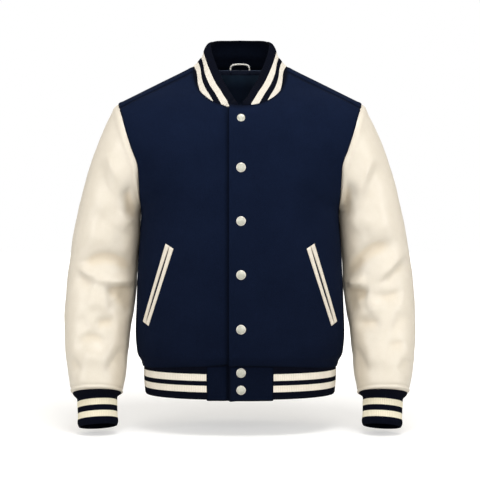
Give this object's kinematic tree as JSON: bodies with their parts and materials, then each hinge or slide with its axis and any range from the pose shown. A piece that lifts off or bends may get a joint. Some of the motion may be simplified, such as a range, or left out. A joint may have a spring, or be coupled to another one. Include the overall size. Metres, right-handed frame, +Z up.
{
  "type": "varsity jacket",
  "caption": "Hollow worn-shape varsity jacket with wool body, leather sleeves, striped rib collar, cuffs and hem, welt pockets and a snap front.",
  "frame": {"origin": "midway between the two points where the neckline crosses the ridge of the shoulders, where the wearer's shoulders and neck hold the jacket", "axes": "+Z up, +X towards the wearer's left sleeve, -Y out of the snap front"},
  "size_m": [0.6946, 0.2628, 0.7807],
  "materials": {
    "wool": "navy melton wool, matt and slightly fuzzy",
    "sleeve_leather": "cream leather, soft satin gloss, fine grain",
    "rib_knit": "navy rib knit with cream stripes",
    "satin_lining": "dark navy satin",
    "neck_tape": "navy woven tape",
    "hanger_cord": "pale woven cord",
    "snap_cap": "pale satin enamel on metal"
  },
  "bodies": {
    "root": {"front_left": "wool", "front_right": "wool", "back": "wool", "sleeve_left": "sleeve_leather", "sleeve_right": "sleeve_leather", "cuff_left": "rib_knit", "cuff_right": "rib_knit", "collar": "rib_knit", "hem_rib": "rib_knit", "hem_tab_left": "wool", "hem_tab_right": "wool", "pocket_welt_left_front": "sleeve_leather", "pocket_welt_left_rear": "sleeve_leather", "pocket_welt_right_front": "sleeve_leather", "pocket_welt_right_rear": "sleeve_leather", "snap_1": "snap_cap", "snap_2": "snap_cap", "snap_3": "snap_cap", "snap_4": "snap_cap", "snap_5": "snap_cap", "snap_6": "snap_cap", "snap_7": "snap_cap", "back_lining": "satin_lining", "neck_tape": "neck_tape", "hanger_loop": "hanger_cord"}
  },
  "joints": []
}
